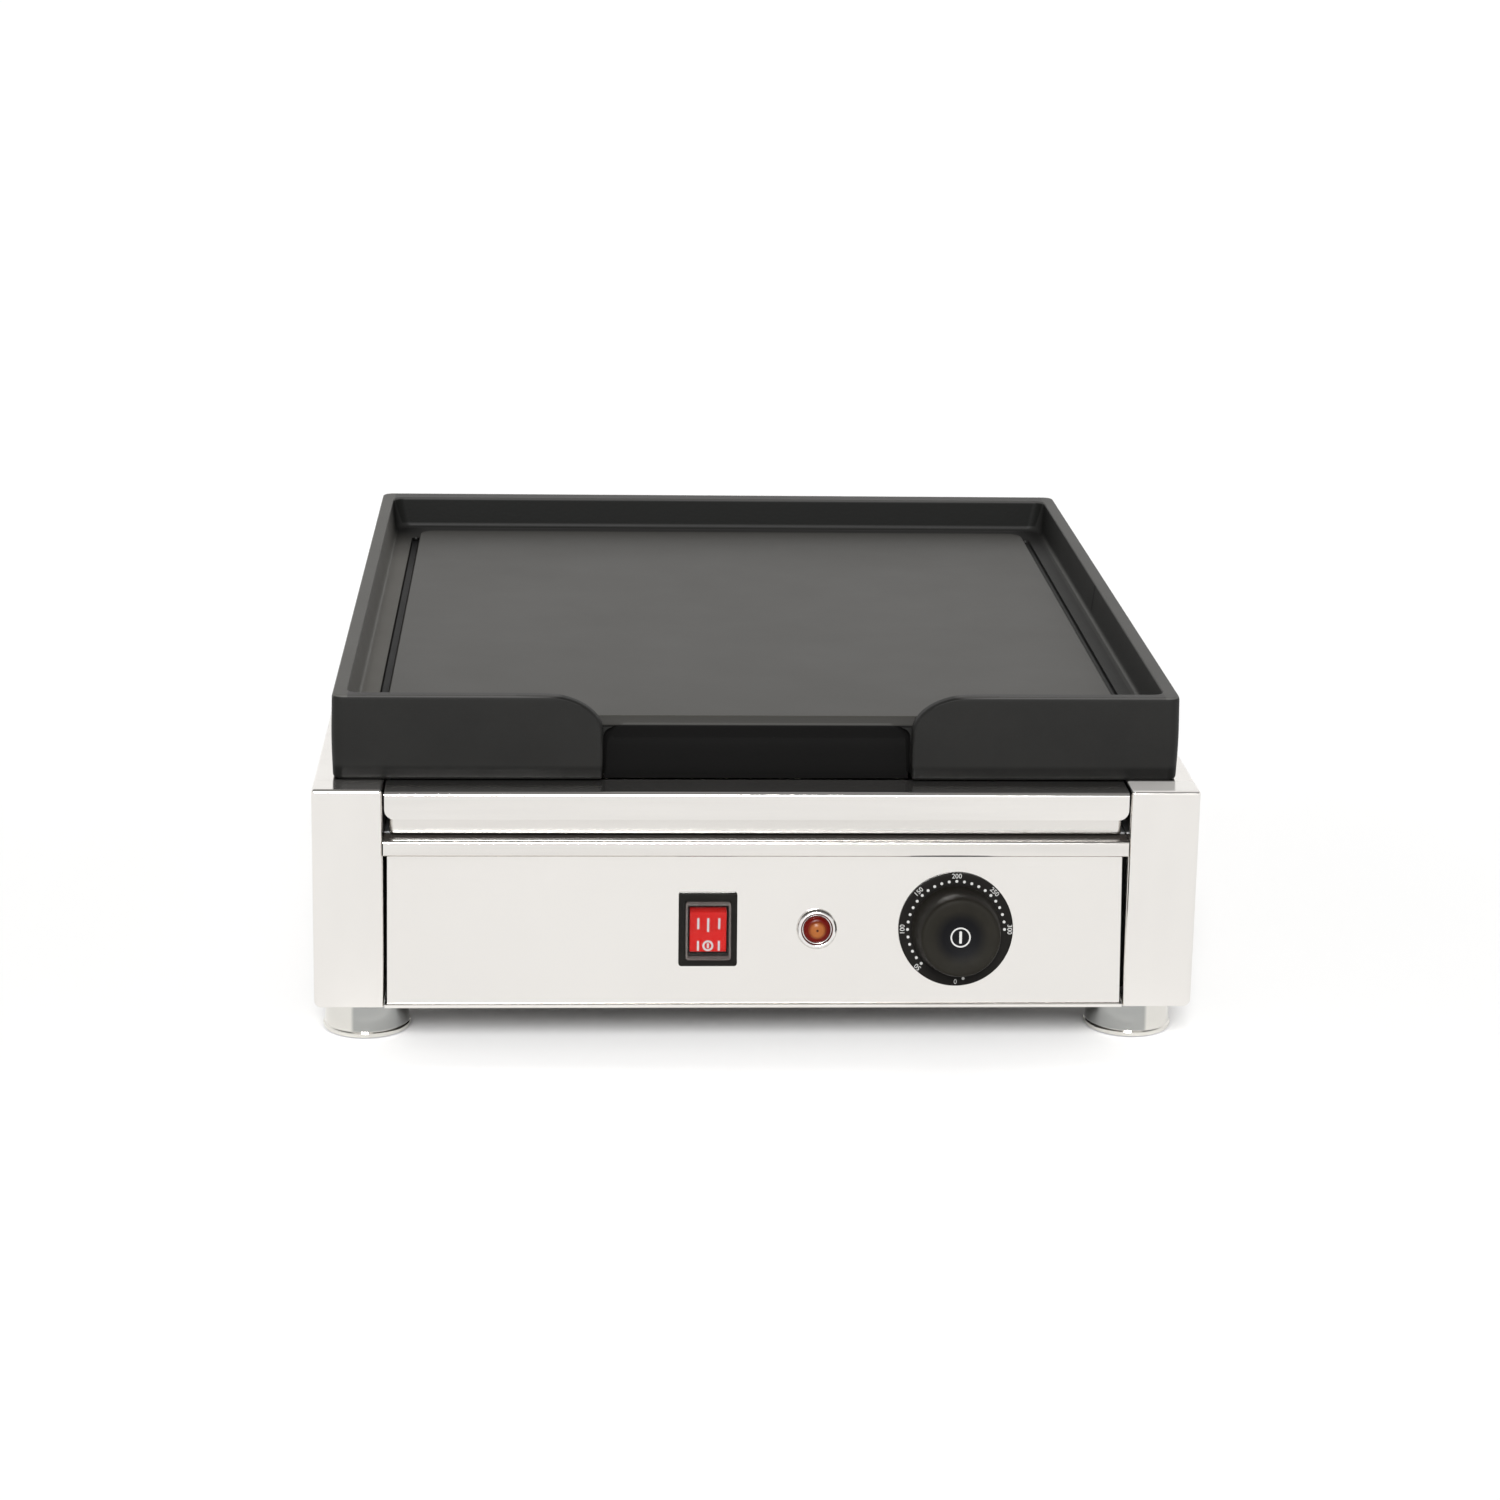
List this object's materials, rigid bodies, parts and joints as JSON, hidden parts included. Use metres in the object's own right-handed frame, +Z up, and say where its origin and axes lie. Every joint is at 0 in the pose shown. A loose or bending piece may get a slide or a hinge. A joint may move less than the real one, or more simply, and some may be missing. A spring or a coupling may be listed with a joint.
{
  "type": "electric flat top griddle",
  "caption": "Countertop electric griddle: cast iron plate with raised rim, side gutters and front grease notch over a stainless body with a pull-out tray, rocker switch, lamp and thermostat.",
  "frame": {"origin": "on the counter, under the middle of the griddle's whole length and width", "axes": "+X to the right seen from the front, +Y to the back, +Z up; the controls face -Y"},
  "size_m": [0.4, 0.4937, 0.1685],
  "materials": {
    "stainless": "polished stainless sheet, fine horizontal grain",
    "cast_iron": "seasoned black cast iron, satin",
    "chrome": "bright chrome plate",
    "galvanised": "galvanised sheet, matt",
    "zinc": "zinc plated fastener",
    "element_sheath": "heat-darkened alloy tube",
    "black_plastic": "black moulded plastic, satin",
    "red_rocker": "translucent red plastic, gloss",
    "pilot_glass": "amber red lens, gloss",
    "clear_cover": "clear moulded plastic, gloss",
    "cream_plastic": "cream thermoset",
    "copper": "bare copper tube",
    "fibre": "ceramic fibre felt",
    "wire_brown": "brown wire insulation",
    "wire_blue": "blue wire insulation",
    "wire_white": "braided glass fibre sleeve"
  },
  "bodies": {
    "housing": {"base_plate": "stainless", "side_column_left": "stainless", "side_column_right": "stainless", "rear_panel": "stainless", "front_bar": "stainless", "control_panel": "stainless", "griddle_plate": "cast_iron", "foot_front_left": "chrome", "foot_front_right": "chrome", "foot_rear_left": "chrome", "foot_rear_right": "chrome", "pilot_body": "chrome", "heat_shield": "galvanised", "element_clamp_front": "galvanised", "element_clamp_rear": "galvanised", "tray_rail_left": "galvanised", "tray_rail_right": "galvanised", "thermostat_body": "galvanised", "foot_nut_front_left": "zinc", "foot_nut_front_right": "zinc", "foot_nut_rear_left": "zinc", "foot_nut_rear_right": "zinc", "plate_bolt_1": "zinc", "plate_bolt_2": "zinc", "plate_bolt_3": "zinc", "plate_bolt_4": "zinc", "clamp_bolt_1": "zinc", "clamp_bolt_2": "zinc", "clamp_bolt_3": "zinc", "clamp_bolt_4": "zinc", "rear_screw_1": "zinc", "rear_screw_2": "zinc", "rear_screw_3": "zinc", "rear_screw_4": "zinc", "thermostat_screw_1": "zinc", "thermostat_screw_2": "zinc", "heating_element_left": "element_sheath", "heating_element_right": "element_sheath", "switch_housing": "black_plastic", "pilot_nut": "black_plastic", "thermostat_dial": "black_plastic", "cable_gland": "black_plastic", "gland_cap": "black_plastic", "gland_locknut": "black_plastic", "pilot_lens": "pilot_glass", "switch_cover": "clear_cover", "terminal_block": "cream_plastic", "thermostat_capillary": "copper", "insulation_blanket": "fibre", "wire_supply": "wire_brown", "wire_thermostat": "wire_brown", "wire_neutral": "wire_blue", "wire_pilot": "wire_blue", "wire_element": "wire_white", "wire_link": "wire_white"},
    "tray": {"grease_tray": "stainless", "tray_handle": "stainless"},
    "knob": {"thermostat_knob": "black_plastic", "thermostat_shaft": "zinc"},
    "rocker": {"switch_rocker": "red_rocker"}
  },
  "joints": [
    {"name": "tray_slide", "type": "slide", "parent": "housing", "child": "tray", "axis": [0, -1, 0], "range_m": [0, 0.15]},
    {"name": "knob_turn", "type": "hinge", "parent": "housing", "child": "knob", "pos_m": [0.0912, -0.22266, 0.0618], "axis": [0, 0.99, -0.141], "range_deg": [0, 270]},
    {"name": "rocker_tilt", "type": "hinge", "parent": "housing", "child": "rocker", "pos_m": [-0.0219, -0.22316, 0.06187], "axis": [-1, 0, 0], "range_deg": [0, 24]}
  ]
}
